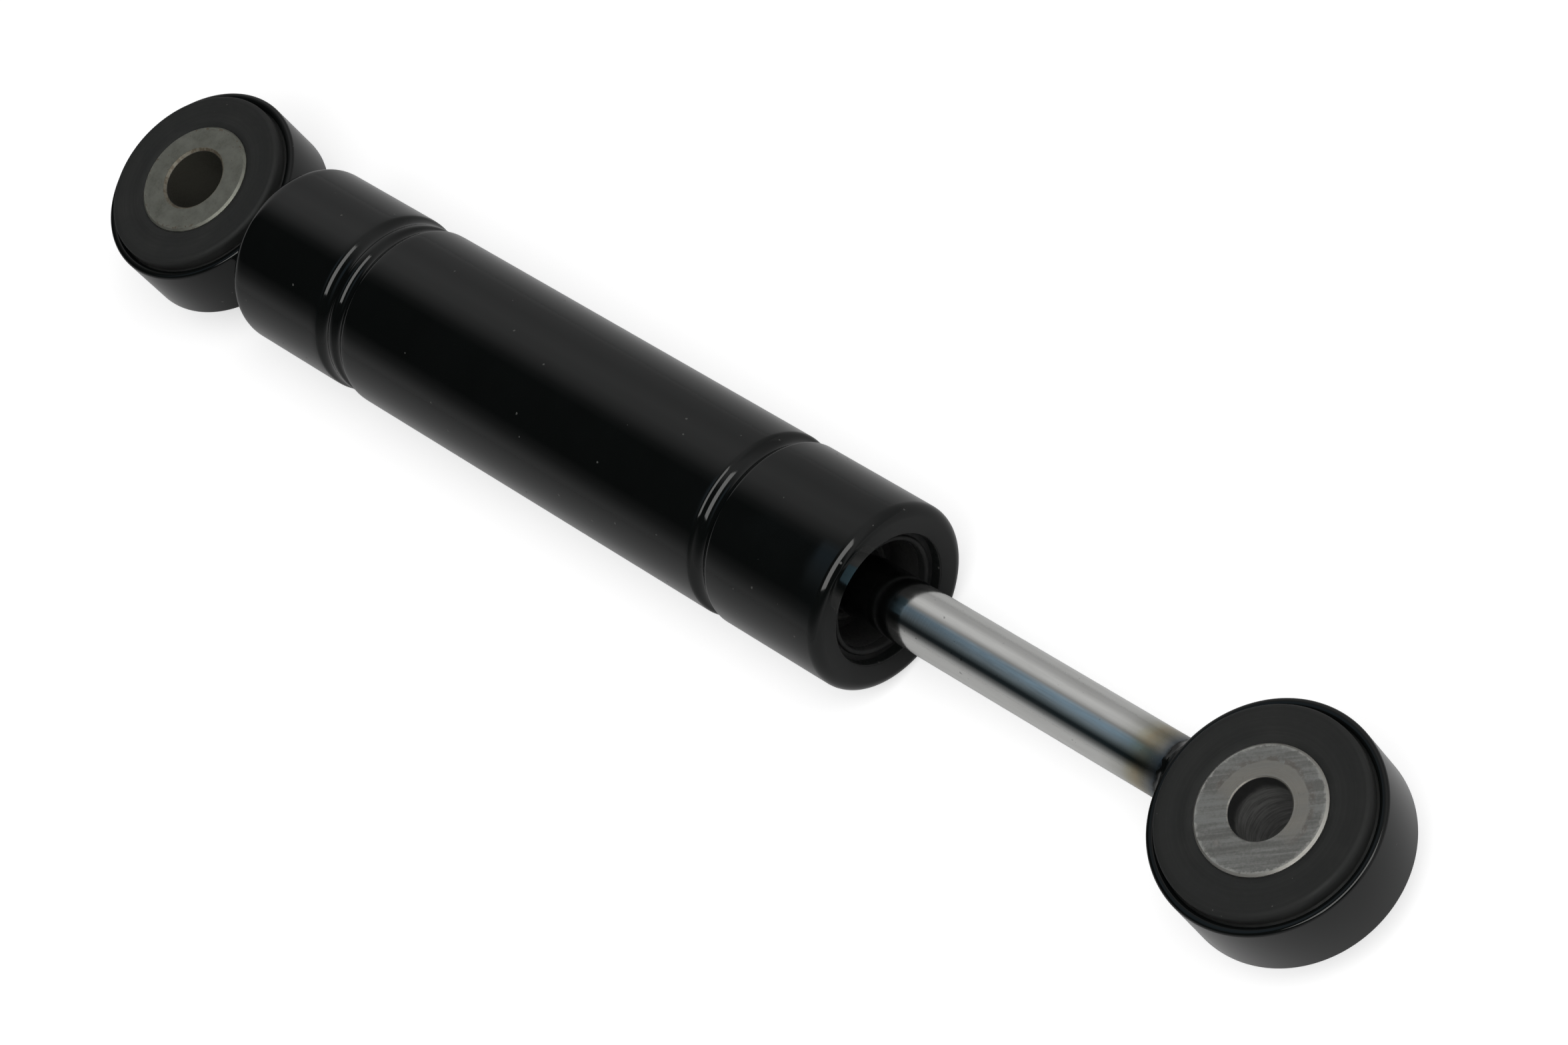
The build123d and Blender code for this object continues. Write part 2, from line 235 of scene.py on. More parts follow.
def mixColours(tree, factor, first, second, blend="MIX"):
    node = addNode(tree, "ShaderNodeMix", data_type="RGBA", blend_type=blend)
    sockets = (node.inputs["Factor"], node.inputs[6], node.inputs[7])  # 6 and 7 are the colours
    for socket, value in zip(sockets, (factor, first, second)):
        if isinstance(value, (int, float)):
            socket.default_value = value
        elif isinstance(value, (tuple, list)):
            socket.default_value = (*value, 1.0)
        else:
            link(tree, value, socket)
    return node.outputs[2]


def greyColour(tree, value):
    node = addNode(tree, "ShaderNodeCombineColor")
    for socket in ("Red", "Green", "Blue"):
        link(tree, value, node.inputs[socket])
    return node.outputs["Color"]


def noiseNode(tree, vector, scale, detail=3.0, roughness=0.5):
    node = addNode(tree, "ShaderNodeTexNoise")
    link(tree, vector, node.inputs["Vector"])
    setInputs(node, Scale=scale, Detail=detail, Roughness=roughness)
    return node.outputs["Fac"]


def stretched(tree, vector, scale):
    node = addNode(tree, "ShaderNodeMapping")
    link(tree, vector, node.inputs["Vector"])
    node.inputs["Scale"].default_value = scale
    return node.outputs["Vector"]


# Noise that is drawn out: the larger a scale, the finer the marks are that way
def streakNode(tree, vector, scale, detail, roughness):
    return noiseNode(tree, stretched(tree, vector, scale), 1.0, detail, roughness)


# Blotches where a noise is high
def blotchNode(tree, vector, marks):
    noise = noiseNode(tree, vector, marks["scale"], marks["detail"], marks["roughness"])
    return rangeNode(tree, noise, *marks["span"])


def objectPlace(tree):
    return addNode(tree, "ShaderNodeTexCoord").outputs["Object"]


def addBump(tree, shader, height, strength, distance):
    node = addNode(tree, "ShaderNodeBump")
    setInputs(node, Strength=strength, Distance=distance)
    link(tree, height, node.inputs["Height"])
    link(tree, node.outputs["Normal"], shader.inputs["Normal"])


def fillRamp(ramp, stops):
    ramp.elements[0].position = stops[0][0]
    ramp.elements[0].color = stops[0][1]
    ramp.elements[1].position = stops[-1][0]
    ramp.elements[1].color = stops[-1][1]
    for place, colour in stops[1:-1]:
        ramp.elements.new(place).color = colour


def newGroup(name, inputs, outputs):
    group = bpy.data.node_groups.new(name, "ShaderNodeTree")
    for label, kind, value in inputs:
        socket = group.interface.new_socket(name=label, in_out="INPUT", socket_type=kind)
        if value is not None:
            socket.default_value = value
    for label, kind in outputs:
        group.interface.new_socket(name=label, in_out="OUTPUT", socket_type=kind)
    start = group.nodes.new("NodeGroupInput")
    end = group.nodes.new("NodeGroupOutput")
    return group, start, end


def placeGroup(tree, group, **values):
    node = tree.nodes.new("ShaderNodeGroup")
    node.node_tree = group
    for key, value in values.items():
        socket = node.inputs[key.replace("_", " ")]
        if isinstance(value, (int, float, tuple)):
            socket.default_value = value
        else:
            link(tree, value, socket)
    return node


# Shared effects

# Sparse specks, such as dust on paint

speckShape = {
    "warpScale": 5200.0,
    "warp": 0.12,
    "warpOffset": 0.06,
}


def buildSpecks(values):
    group, start, end = newGroup(
        "specks",
        [
            ("Vector", "NodeSocketVector", None),
            ("Density", "NodeSocketFloat", 900.0),
            ("Size", "NodeSocketFloat", 0.1),
            ("Share", "NodeSocketFloat", 0.08),
        ],
        [("Mask", "NodeSocketFloat")],
    )
    cells = addNode(group, "ShaderNodeTexVoronoi", feature="F1")
    link(group, start.outputs["Vector"], cells.inputs["Vector"])
    link(group, start.outputs["Density"], cells.inputs["Scale"])
    warp = noiseNode(group, start.outputs["Vector"], values["warpScale"], 2.0)
    distance = scaleAndAdd(group, warp, values["warp"], cells.outputs["Distance"])
    size = mathNode(group, "ADD", start.outputs["Size"], values["warpOffset"])
    near = mathNode(group, "LESS_THAN", distance, size)
    pick = addNode(group, "ShaderNodeSeparateColor")
    link(group, cells.outputs["Color"], pick.inputs["Color"])
    chosen = mathNode(group, "LESS_THAN", pick.outputs["Red"], start.outputs["Share"])
    link(group, times(group, near, chosen), end.inputs["Mask"])
    return group


# Slow cloudy change and a finer grain, for colour and roughness

mottleShape = {
    "detail": 5.0,
    "roughness": 0.62,
}


def buildMottle(values):
    group, start, end = newGroup(
        "mottle",
        [
            ("Vector", "NodeSocketVector", None),
            ("Coarse", "NodeSocketFloat", 90.0),
            ("Fine", "NodeSocketFloat", 900.0),
        ],
        [("Cloud", "NodeSocketFloat"), ("Grain", "NodeSocketFloat")],
    )
    for label, scale in (("Cloud", "Coarse"), ("Grain", "Fine")):
        cloud = addNode(group, "ShaderNodeTexNoise")
        link(group, start.outputs["Vector"], cloud.inputs["Vector"])
        link(group, start.outputs[scale], cloud.inputs["Scale"])
        setInputs(cloud, Detail=values["detail"], Roughness=values["roughness"])
        link(group, cloud.outputs["Fac"], end.inputs[label])
    return group


# Distance from a line along Z through a point, with the rings that turning leaves around it and
# marks that run out from it like spokes

turningShape = {
    "ringDetail": 4.0,
    "ringRoughness": 0.7,
    "spokeScale": 16.0,
    "spokeBreaks": 90.0,
}


def buildTurning(values):
    group, start, end = newGroup(
        "turning",
        [
            ("Vector", "NodeSocketVector", None),
            ("Centre", "NodeSocketVector", (0, 0, 0)),
            ("Rings", "NodeSocketFloat", 3000.0),
        ],
        [
            ("Radius", "NodeSocketFloat"),
            ("Marks", "NodeSocketFloat"),
            ("Spokes", "NodeSocketFloat"),
        ],
    )
    away = addNode(group, "ShaderNodeVectorMath", operation="SUBTRACT")
    link(group, start.outputs["Vector"], away.inputs[0])
    link(group, start.outputs["Centre"], away.inputs[1])
    parts = splitVector(group, away.outputs["Vector"])
    radius = lengthNode(group, parts["X"], parts["Y"])
    link(group, radius, end.inputs["Radius"])
    lined = addNode(group, "ShaderNodeTexNoise", noise_dimensions="1D")
    link(group, times(group, radius, start.outputs["Rings"]), lined.inputs["W"])
    setInputs(lined, Scale=1.0, Detail=values["ringDetail"], Roughness=values["ringRoughness"])
    link(group, lined.outputs["Fac"], end.inputs["Marks"])
    flat = addNode(group, "ShaderNodeCombineXYZ")
    link(group, mathNode(group, "DIVIDE", parts["X"], radius), flat.inputs["X"])
    link(group, mathNode(group, "DIVIDE", parts["Y"], radius), flat.inputs["Y"])
    link(group, times(group, radius, values["spokeBreaks"]), flat.inputs["Z"])
    spokes = noiseNode(group, flat.outputs["Vector"], values["spokeScale"], 3.0, 0.6)
    link(group, spokes, end.inputs["Spokes"])
    return group


specks = buildSpecks(speckShape)
mottle = buildMottle(mottleShape)
turning = buildTurning(turningShape)


def cloudsOf(tree, place, values):
    return placeGroup(tree, mottle, Vector=place, Coarse=values["cloudScale"],
                      Fine=values["grainScale"]).outputs


def dustOf(tree, place, values, share):
    return placeGroup(tree, specks, Vector=place, Density=values["dustDensity"],
                      Size=values["dustSize"], Share=share).outputs["Mask"]


def turningOf(tree, place, values, centreX):
    return placeGroup(tree, turning, Vector=place, Centre=(centreX, 0.0, 0.0),
                      Rings=values["ringScale"]).outputs


print("built the shared effects")


# Materials

blackPaint = {
    "colour": (0.0022, 0.0026, 0.0025),
    "cloudyColour": (0.0033, 0.0039, 0.00375),
    "cloudScale": 130.0,
    "grainScale": 2400.0,
    "dustColour": (0.05, 0.05, 0.048),
    "dustDensity": 620.0,
    "dustSize": 0.1,
    "dustRoughness": 0.4,
    "tubeDust": 0.14,  # the share of places for a speck that have one
    "eyeDust": 0.08,
    "roughness": 0.085,
    "roughSpan": (0.3, 0.75),
    "roughDrift": (-0.02, 0.035),
    "mouthRadius": 9.15 * mm,  # the paint ends rough inside the rolled mouth
    "mouthBand": 0.35 * mm,
    "mouthRagged": 0.4 * mm,
    "mouthRoughness": 0.5,
    "peelScale": 420.0,
    "grainInPeel": 0.4,
    "dustInPeel": 3.0,
    "peelStrength": 0.6,
    "peelHeight": 0.002 * mm,
    "ior": 1.36,
}


def buildBlackPaint(name, values, dustShare, roughMouth=False):
    material, tree, shader = newMaterial(name)
    place = objectPlace(tree)
    cloud = cloudsOf(tree, place, values)
    dust = dustOf(tree, place, values, dustShare)
    base = mixColours(tree, cloud["Cloud"], values["colour"], values["cloudyColour"])
    colour = mixColours(tree, dust, base, values["dustColour"])
    link(tree, colour, shader.inputs["Base Color"])
    drift = rangeNode(tree, cloud["Cloud"], *values["roughSpan"], *values["roughDrift"])
    rough = mathNode(tree, "ADD", drift, values["roughness"])
    if roughMouth:
        parts = splitVector(tree, place)
        ragged = scaleAndAdd(tree, cloud["Grain"], values["mouthRagged"],
                             lengthNode(tree, parts["Y"], parts["Z"]))
        mouthEnd = values["mouthRadius"] + values["mouthBand"]
        inMouth = rangeNode(tree, ragged, values["mouthRadius"], mouthEnd,
                            values["mouthRoughness"], 0.0)
        rough = mathNode(tree, "ADD", rough, inMouth)
    dusty = scaleAndAdd(tree, dust, values["dustRoughness"], rough, clamp=True)
    link(tree, dusty, shader.inputs["Roughness"])
    peel = scaleAndAdd(tree, cloud["Grain"], values["grainInPeel"],
                       noiseNode(tree, place, values["peelScale"], 2.0))
    raised = scaleAndAdd(tree, dust, values["dustInPeel"], peel)
    addBump(tree, shader, raised, values["peelStrength"], values["peelHeight"])
    setInputs(shader, Metallic=0.0, IOR=values["ior"])
    return material


rubberLook = {
    "colour": (0.0072, 0.0076, 0.0073),
    "bloom": (0.021, 0.0213, 0.0206),
    "bloomSpan": (0.42, 0.75),
    "bloomShare": 0.45,
    "cloudScale": 210.0,
    "grainScale": 3200.0,
    "ringScale": 2600.0,
    "ringSpan": (0.35, 0.7),
    "ringShade": (0.85, 1.12),
    "dustColour": (0.09, 0.09, 0.085),
    "dustDensity": 800.0,
    "dustSize": 0.07,
    "dustShare": 0.1,
    "dustStrength": 0.5,
    "roughSpan": (0.3, 0.7),
    "roughness": (0.64, 0.82),
    "ringInGrain": 0.25,
    "dustInGrain": 0.8,
    "grainStrength": 0.5,
    "grainHeight": 0.03 * mm,
    "ior": 1.4,
}


def buildRubber(name, values, centreX):
    material, tree, shader = newMaterial(name)
    place = objectPlace(tree)
    cloud = cloudsOf(tree, place, values)
    dust = dustOf(tree, place, values, values["dustShare"])
    turned = turningOf(tree, place, values, centreX)
    bloom = rangeNode(tree, cloud["Cloud"], *values["bloomSpan"])
    base = mixColours(tree, times(tree, bloom, values["bloomShare"]), values["colour"],
                      values["bloom"])
    ringShade = rangeNode(tree, turned["Marks"], *values["ringSpan"], *values["ringShade"])
    shaded = mixColours(tree, 1.0, base, greyColour(tree, ringShade), blend="MULTIPLY")
    dusty = times(tree, dust, values["dustStrength"])
    link(tree, mixColours(tree, dusty, shaded, values["dustColour"]), shader.inputs["Base Color"])
    rough = rangeNode(tree, cloud["Cloud"], *values["roughSpan"], *values["roughness"])
    link(tree, rough, shader.inputs["Roughness"])
    grain = scaleAndAdd(tree, turned["Marks"], values["ringInGrain"], cloud["Grain"])
    raised = scaleAndAdd(tree, dust, values["dustInGrain"], grain)
    addBump(tree, shader, raised, values["grainStrength"], values["grainHeight"])
    setInputs(shader, Metallic=0.0, IOR=values["ior"])
    return material


zincLook = {
    "colour": (0.122, 0.125, 0.104),
    "pale": (0.185, 0.187, 0.162),
    "cloudScale": 420.0,
    "cloudSpan": (0.32, 0.7),
    "grainScale": 3600.0,
    "grainSpan": (0.35, 0.7),
    "grainShare": 0.7,
    # the rusty chamfer round the bore
    "rust": (0.05, 0.034, 0.018),
    "tan": (0.105, 0.095, 0.072),
    "rustSpots": {"scale": 1500.0, "detail": 4.0, "roughness": 0.7, "span": (0.44, 0.56)},
    "rustReach": (0.36 * mm, 0.5 * mm),
    "rustShare": 0.85,
    # pits in patches near the outer edge, and a few loose ones
    "edgePits": {"scale": 2300.0, "detail": 2.0, "roughness": 0.5, "span": (0.53, 0.59)},
    "edgePatches": {"scale": 160.0, "detail": 2.0, "roughness": 0.5, "span": (0.42, 0.52)},
    "edgeBand": (0.75 * mm, 0.5 * mm, 0.35 * mm, 0.2 * mm),
    "loosePits": {"scale": 1700.0, "detail": 2.0, "roughness": 0.5, "span": (0.69, 0.74)},
    "pitShare": 0.8,
    # painted shade: the bore's wall is painted dark for the shade inside the hole
    "inside": (0.032, 0.031, 0.025),
    "roughSpan": (0.3, 0.7),
    "roughness": (0.46, 0.62),
    "dullSpan": (0.1, 0.8),
    "metallic": (0.75, 0.2),  # where it is clean, and where it is dull
    "ringScale": 5200.0,
    "ringInGrain": 0.4,
    "pitInGrain": -1.5,
    "grainStrength": 0.4,
    "grainHeight": 0.02 * mm,
}

boreEdge = (0.06 * mm, 0.02 * mm)  # the sleeves' bores are told from their faces by the radius


def boreMask(tree, radius, boreRadius):
    return rangeNode(tree, radius, *(boreRadius + gap for gap in boreEdge))


def buildZincSleeve(name, values, centreX, boreRadius):
    material, tree, shader = newMaterial(name)
    place = objectPlace(tree)
    cloud = cloudsOf(tree, place, values)
    turned = turningOf(tree, place, values, centreX)
    radius = turned["Radius"]
    base = mixColours(tree, rangeNode(tree, cloud["Cloud"], *values["cloudSpan"]),
                      values["colour"], values["pale"])
    grain = rangeNode(tree, cloud["Grain"], *values["grainSpan"], 0.0, values["grainShare"])
    fine = mixColours(tree, grain, base, values["pale"])
    rustReach = [boreRadius + reach for reach in values["rustReach"]]
    rusty = rangeNode(tree, radius, *rustReach, 1.0, 0.0)
    browned = mixColours(tree, blotchNode(tree, place, values["rustSpots"]), values["tan"],
                         values["rust"])
    edged = mixColours(tree, times(tree, rusty, values["rustShare"]), fine, browned)
    band = [sleeveRadius - gap for gap in values["edgeBand"]]
    patches = times(tree, bandNode(tree, radius, band[:2], band[2:]),
                    blotchNode(tree, place, values["edgePatches"]))
    pitted = mathNode(tree, "MAXIMUM",
                      times(tree, patches, blotchNode(tree, place, values["edgePits"])),
                      blotchNode(tree, place, values["loosePits"]))
    stained = mixColours(tree, times(tree, pitted, values["pitShare"]), edged, values["rust"])
    # painted shade: the bore's wall takes the dark inside colour
    colour = mixColours(tree, boreMask(tree, radius, boreRadius), stained, values["inside"])
    link(tree, colour, shader.inputs["Base Color"])
    rough = rangeNode(tree, cloud["Grain"], *values["roughSpan"], *values["roughness"])
    link(tree, rough, shader.inputs["Roughness"])
    dull = mathNode(tree, "MAXIMUM", rusty, pitted)
    metallic = rangeNode(tree, dull, *values["dullSpan"], *values["metallic"])
    link(tree, metallic, shader.inputs["Metallic"])
    raised = scaleAndAdd(tree, turned["Marks"], values["ringInGrain"], cloud["Grain"])
    sunk = scaleAndAdd(tree, pitted, values["pitInGrain"], raised)
    addBump(tree, shader, sunk, values["grainStrength"], values["grainHeight"])
    return material


sawnLook = {
    "colour": (0.16, 0.158, 0.148),
    "bright": (0.31, 0.305, 0.285),
    "cloudScale": 330.0,
    "grainScale": 3000.0,
    # saw marks, fine and broad
    "sawDegrees": -35.0,
    "fineSaw": (110.0, 2400.0, 260.0),
    "fineShare": 0.5,
    "broadSaw": (70.0, 650.0, 120.0),
    "broadShare": 0.55,
    "sawSpan": (0.38, 0.74),
    "sawInShade": 0.6,
    "grainInShade": 0.75,
    "shadeSpan": (0.3, 0.95),
    # a brighter outer edge, a painted highlight where light catches it
    "rim": (0.44, 0.43, 0.4),
    "rimRagged": 1.3 * mm,
    "rimWidth": 0.35 * mm,
    "rimShare": 0.8,
    # the part towards +Y was faced in the lathe close to the bore, and shows rings there
    "turned": (0.27, 0.252, 0.222),
    "turnedSide": (-2.5 * mm, 0.5 * mm),
    "turnedWander": 5.0 * mm,
    "wanderOutwards": 0.16,
    "turnedReach": 6.15 * mm,
    "turnedEdge": (-0.15 * mm, 0.1 * mm),
    "turnedShare": 0.85,
    "ringScale": 3600.0,
    "ringSpan": (0.35, 0.7),
    "ringShare": 0.55,
    # stains along that part's border, and loose ones
    "stain": (0.05, 0.044, 0.038),
    "stainBand": (-0.1 * mm, 0.1 * mm, 0.45 * mm, 0.9 * mm),
    "stainSpots": {"scale": 900.0, "detail": 4.0, "roughness": 0.65, "span": (0.42, 0.54)},
    "looseStains": {"scale": 430.0, "detail": 3.0, "roughness": 0.6, "span": (0.64, 0.72)},
    "looseShare": 0.6,
    "stainShare": 0.8,
    # the bore's wall: a painted shadow in a band below its mouth, and turned rings deeper down
    "wall": (0.14, 0.14, 0.135),
    "wallRing": (0.063, 0.063, 0.06075),
    "wallRings": (300.0, 300.0, 2600.0),
    "wallRingSpan": (0.36, 0.66),
    "wallShadow": (0.018, 0.018, 0.018),
    "shadowDepth": (2.6 * mm, 0.9 * mm),
    "shadowRagged": 2.0 * mm,
    "roughSpan": (0.35, 0.75),
    "roughness": (0.56, 0.36),
    "metallic": (0.85, 0.15),  # where it is clean, and where it is stained or inside
    "ringInLines": 0.25,
    "lineStrength": 0.45,
    "lineHeight": 0.05 * mm,
}


# Saw marks that cross the face in straight lines
def sawLines(tree, place, values):
    turn = addNode(tree, "ShaderNodeMapping")
    link(tree, place, turn.inputs["Vector"])
    turn.inputs["Rotation"].default_value = (0.0, 0.0, math.radians(values["sawDegrees"]))
    across = turn.outputs["Vector"]
    fine = streakNode(tree, across, values["fineSaw"], 5.0, 0.65)
    broad = streakNode(tree, across, values["broadSaw"], 3.0, 0.6)
    return scaleAndAdd(tree, broad, values["broadShare"], times(tree, fine, values["fineShare"]))


def buildSawnSleeve(name, values, centreX, boreRadius):
    material, tree, shader = newMaterial(name)
    place = objectPlace(tree)
    parts = splitVector(tree, place)
    cloud = cloudsOf(tree, place, values)
    turned = turningOf(tree, place, values, centreX)
    radius = turned["Radius"]
    lines = sawLines(tree, place, values)

    # the sawn face with the painted highlight on its edge
    sawn = times(tree, rangeNode(tree, lines, *values["sawSpan"]), values["sawInShade"])
    shade = scaleAndAdd(tree, cloud["Grain"], values["grainInShade"], sawn)
    marked = mixColours(tree, rangeNode(tree, shade, *values["shadeSpan"]), values["colour"],
                        values["bright"])
    # painted highlight: brighter in a ragged band along the outer edge
    ragged = scaleAndAdd(tree, turned["Spokes"], values["rimRagged"], radius)
    rimHighlight = rangeNode(tree, ragged, sleeveRadius, sleeveRadius + values["rimWidth"])
    base = mixColours(tree, times(tree, rimHighlight, values["rimShare"]), marked, values["rim"])

    # the turned part near the bore
    wander = scaleAndAdd(tree, cloud["Cloud"], values["turnedWander"], -values["turnedWander"] / 2)
    side = rangeNode(tree, mathNode(tree, "ADD", parts["Y"], wander), *values["turnedSide"])
    reach = scaleAndAdd(tree, wander, values["wanderOutwards"], radius)
    edge = [values["turnedReach"] + gap for gap in values["turnedEdge"]]
    faced = times(tree, side, rangeNode(tree, reach, *edge, 1.0, 0.0))
    rings = rangeNode(tree, turned["Marks"], *values["ringSpan"], 0.0, values["ringShare"])
    ringed = mixColours(tree, rings, values["turned"], values["bright"])
    face = mixColours(tree, times(tree, faced, values["turnedShare"]), base, ringed)

    # stains
    band = [values["turnedReach"] + gap for gap in values["stainBand"]]
    border = times(tree, bandNode(tree, reach, band[:2], band[2:]), side)
    along = times(tree, border, blotchNode(tree, place, values["stainSpots"]))
    loose = times(tree, blotchNode(tree, place, values["looseStains"]), values["looseShare"])
    stains = mathNode(tree, "MAXIMUM", along, loose)
    stained = mixColours(tree, times(tree, stains, values["stainShare"]), face, values["stain"])

    # the bore's wall, with its painted shadow
    inside = boreMask(tree, radius, boreRadius)
    # painted shadow: darker in a ragged band below the bore's mouth
    depth = scaleAndAdd(tree, cloud["Cloud"], values["shadowRagged"], parts["Z"])
    shadowBand = rangeNode(tree, depth, *(sleeveHalf - reached for reached in values["shadowDepth"]))
    wallRings = streakNode(tree, place, values["wallRings"], 4.0, 0.65)
    ringedWall = mixColours(tree, rangeNode(tree, wallRings, *values["wallRingSpan"]),
                            values["wall"], values["wallRing"])
    wall = mixColours(tree, shadowBand, ringedWall, values["wallShadow"])

    link(tree, mixColours(tree, inside, stained, wall), shader.inputs["Base Color"])
    rough = rangeNode(tree, lines, *values["roughSpan"], *values["roughness"])
    link(tree, rough, shader.inputs["Roughness"])
    dull = mathNode(tree, "MAXIMUM", stains, inside)
    link(tree, rangeNode(tree, dull, 0.0, 1.0, *values["metallic"]), shader.inputs["Metallic"])
    raised = scaleAndAdd(tree, turned["Marks"], values["ringInLines"], lines)
    addBump(tree, shader, raised, values["lineStrength"], values["lineHeight"])
    return material


chromeLook = {
    # millimetres before the start of the weld, and the colour that the heat left there
    "heat": [(-9.0, (0.63, 0.63, 0.615)), (-7.2, (0.58, 0.58, 0.56)), (-5.2, (0.47, 0.47, 0.44)),
             (-4.1, (0.38, 0.365, 0.29)), (-3.1, (0.31, 0.27, 0.19)), (-2.1, (0.22, 0.205, 0.155)),
             (-1.2, (0.18, 0.18, 0.165)), (-0.3, (0.105, 0.118, 0.13)),
             (0.3, (0.012, 0.012, 0.012))],
    "heatWander": 2.2 * mm,
    "sootSpan": (0.45, 1.0),
    "sootRoughness": 0.25,
    "cloudScale": 240.0,
    "grainScale": 2600.0,
    "rubbed": (140.0, 1300.0, 1300.0),
    "haze": (0.36, 0.36, 0.345),
    "hazeSpan": (0.35, 0.75),
    "hazeShare": 0.16,
    "pit": (0.1, 0.1, 0.1),
    "pits": {"scale": 1500.0, "detail": 2.0, "roughness": 0.5, "span": (0.72, 0.77)},
    "pitShare": 0.5,
    "roughSpan": (0.3, 0.75),
    "roughness": (0.08, 0.15),
    "ground": (5200.0, 260.0, 260.0),
    "groundShare": 0.6,
    "groundStrength": 0.25,
    "groundHeight": 0.004 * mm,
}


def buildChrome(name, values, weldX):
    material, tree, shader = newMaterial(name)
    place = objectPlace(tree)
    parts = splitVector(tree, place)
    cloud = cloudsOf(tree, place, values)
    centred = mathNode(tree, "SUBTRACT", cloud["Cloud"], 0.5)
    wander = scaleAndAdd(tree, centred, values["heatWander"], parts["X"])
    first, last = values["heat"][0][0], values["heat"][-1][0]
    heat = rangeNode(tree, wander, weldX + first * mm, weldX + last * mm, smooth=False)
    tint = addNode(tree, "ShaderNodeValToRGB")
    link(tree, heat, tint.inputs["Fac"])
    stops = [((at - first) / (last - first), (*colour, 1.0)) for at, colour in values["heat"]]
    fillRamp(tint.color_ramp, stops)
    rubbed = streakNode(tree, place, values["rubbed"], 4.0, 0.65)
    hazy = rangeNode(tree, rubbed, *values["hazeSpan"], 0.0, values["hazeShare"])
    haze = mixColours(tree, hazy, tint.outputs["Color"], values["haze"])
    pits = times(tree, blotchNode(tree, place, values["pits"]), values["pitShare"])
    link(tree, mixColours(tree, pits, haze, values["pit"]), shader.inputs["Base Color"])
    rough = rangeNode(tree, rubbed, *values["roughSpan"], *values["roughness"])
    sooty = rangeNode(tree, heat, *values["sootSpan"], 0.0, values["sootRoughness"])
    link(tree, mathNode(tree, "ADD", rough, sooty, clamp=True), shader.inputs["Roughness"])
    ground = streakNode(tree, place, values["ground"], 3.0, 0.6)
    raised = scaleAndAdd(tree, ground, values["groundShare"], rubbed)
    addBump(tree, shader, raised, values["groundStrength"], values["groundHeight"])
    setInputs(shader, Metallic=1.0)
    return material


# Finishes of the cover and of what lies inside the tube: two colours, roughness, metallic, the
# height of the grain, and how strongly it mirrors

plainFinishes = {
    "coverSteel": ((0.004, 0.0045, 0.0045), (0.012, 0.012, 0.012), 0.5, 0.0, 0.01 * mm, 0.2),
    "sealRubber": ((0.006, 0.006, 0.006), (0.014, 0.014, 0.014), 0.6, 0.0, 0.02 * mm, 0.25),
    # painted shade: the garter spring is made near black for the shade in the recess behind the lip
    "garterPaintedShade": ((0.01, 0.01, 0.01), (0.03, 0.03, 0.028), 0.55, 0.3, 0.02 * mm, 0.3),
    "sinteredIron": ((0.09, 0.09, 0.088), (0.17, 0.17, 0.165), 0.55, 0.8, 0.03 * mm, 0.5),
    "valveSteel": ((0.28, 0.28, 0.28), (0.5, 0.5, 0.5), 0.3, 1.0, 0.01 * mm, 0.5),
    "slideLining": ((0.09, 0.07, 0.05), (0.16, 0.13, 0.1), 0.6, 0.0, 0.02 * mm, 0.5),
}

plainGrain = {
    "cloudScale": 300.0,
    "cloudSpan": (0.3, 0.7),
    "grainScale": 3000.0,
    "turned": (5200.0, 900.0, 900.0),
    "turnedSpan": (0.4, 0.7),
    "turnedShare": 0.4,
    "turnedInGrain": 0.5,
    "roughDrift": (-0.06, 0.1),
    "grainStrength": 0.4,
}


def buildPlainMetal(name, dark, pale, roughness, metallic, grainHeight, mirrors, values):
    material, tree, shader = newMaterial(name)
    place = objectPlace(tree)
    cloud = cloudsOf(tree, place, values)
    turned = streakNode(tree, place, values["turned"], 4.0, 0.65)
    base = mixColours(tree, rangeNode(tree, cloud["Cloud"], *values["cloudSpan"]), dark, pale)
    marks = rangeNode(tree, turned, *values["turnedSpan"], 0.0, values["turnedShare"])
    link(tree, mixColours(tree, marks, base, pale), shader.inputs["Base Color"])
    ends = [roughness + drift for drift in values["roughDrift"]]
    rough = rangeNode(tree, cloud["Grain"], *values["cloudSpan"], *ends)
    link(tree, rough, shader.inputs["Roughness"])
    raised = scaleAndAdd(tree, turned, values["turnedInGrain"], cloud["Grain"])
    addBump(tree, shader, raised, values["grainStrength"], grainHeight)
    setInputs(shader, Metallic=metallic, Specular_IOR_Level=mirrors)
    return material


tubePaint = buildBlackPaint("tubePaint", blackPaint, blackPaint["tubeDust"], roughMouth=True)
eyePaint = buildBlackPaint("eyePaint", blackPaint, blackPaint["eyeDust"])
bodyRubber = buildRubber("bodyBushRubber", rubberLook, bodyEyeX)
rodRubber = buildRubber("rodBushRubber", rubberLook, rodEyeX)
zincSleeve = buildZincSleeve("zincSleeve", zincLook, bodyEyeX, bodyBoreRadius)
sawnSleeve = buildSawnSleeve("sawnSleeve", sawnLook, rodEyeX, rodBoreRadius)
rodChrome = buildChrome("rodChrome", chromeLook, rodWeldX)
plain = {name: buildPlainMetal(name, *finish, plainGrain) for name, finish in plainFinishes.items()}
print("built the materials")


# Tube

